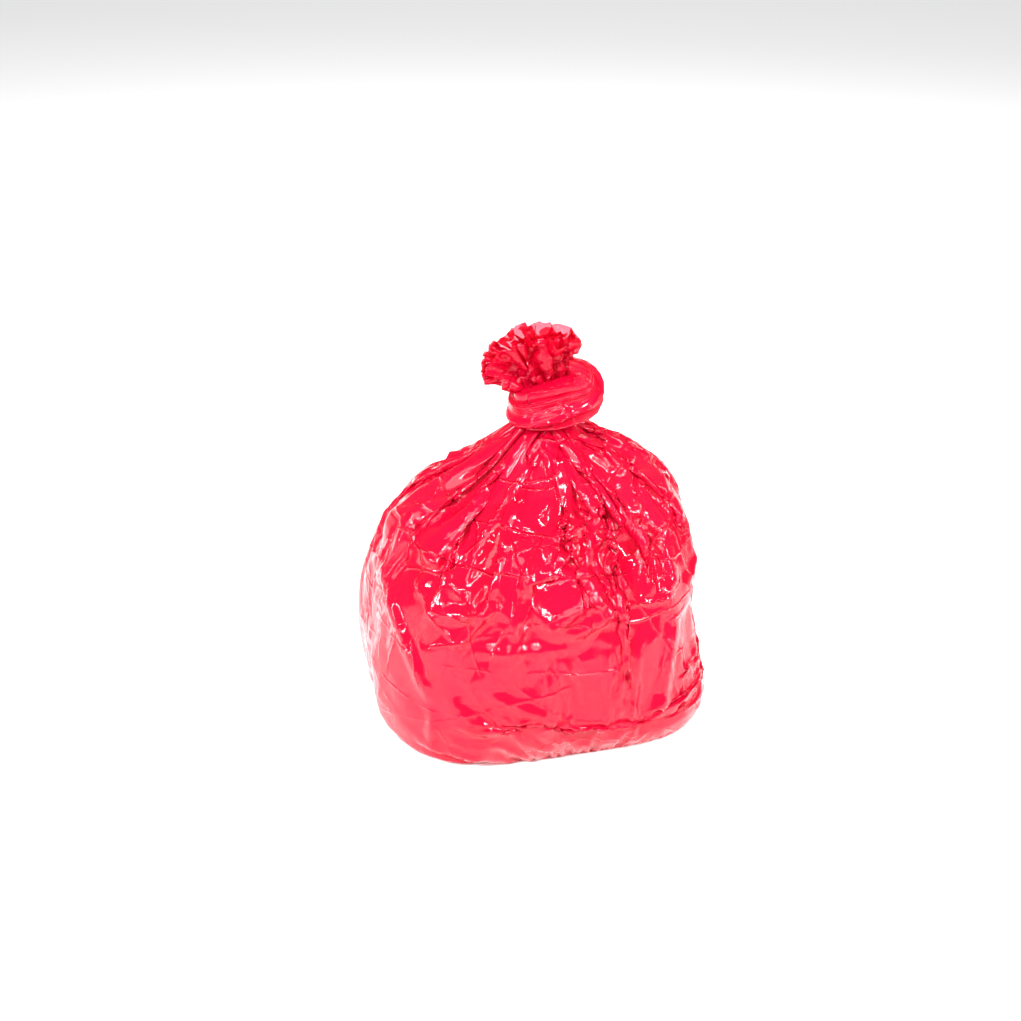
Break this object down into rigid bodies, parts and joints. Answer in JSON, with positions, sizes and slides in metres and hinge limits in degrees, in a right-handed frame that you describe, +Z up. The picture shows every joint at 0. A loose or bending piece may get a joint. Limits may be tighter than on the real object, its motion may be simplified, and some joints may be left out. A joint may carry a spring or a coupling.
{
  "type": "bin bag",
  "caption": "Filled refuse sack of glossy thin plastic film, standing on its base, gathered into a neck and shut by a knot in its own film, with a carton of rubbish inside.",
  "frame": {"origin": "on the floor, under the middle of the sack's base", "axes": "+Z up through the knot, +X to the sack's right and +Y to its back as seen from the front"},
  "size_m": [0.4492, 0.4182, 0.5041],
  "materials": {
    "film": "glossy, slightly see-through red polyethylene film",
    "carton": "matt brown corrugated board"
  },
  "bodies": {
    "root": {"film_sack": "film", "carton": "carton"}
  },
  "joints": []
}
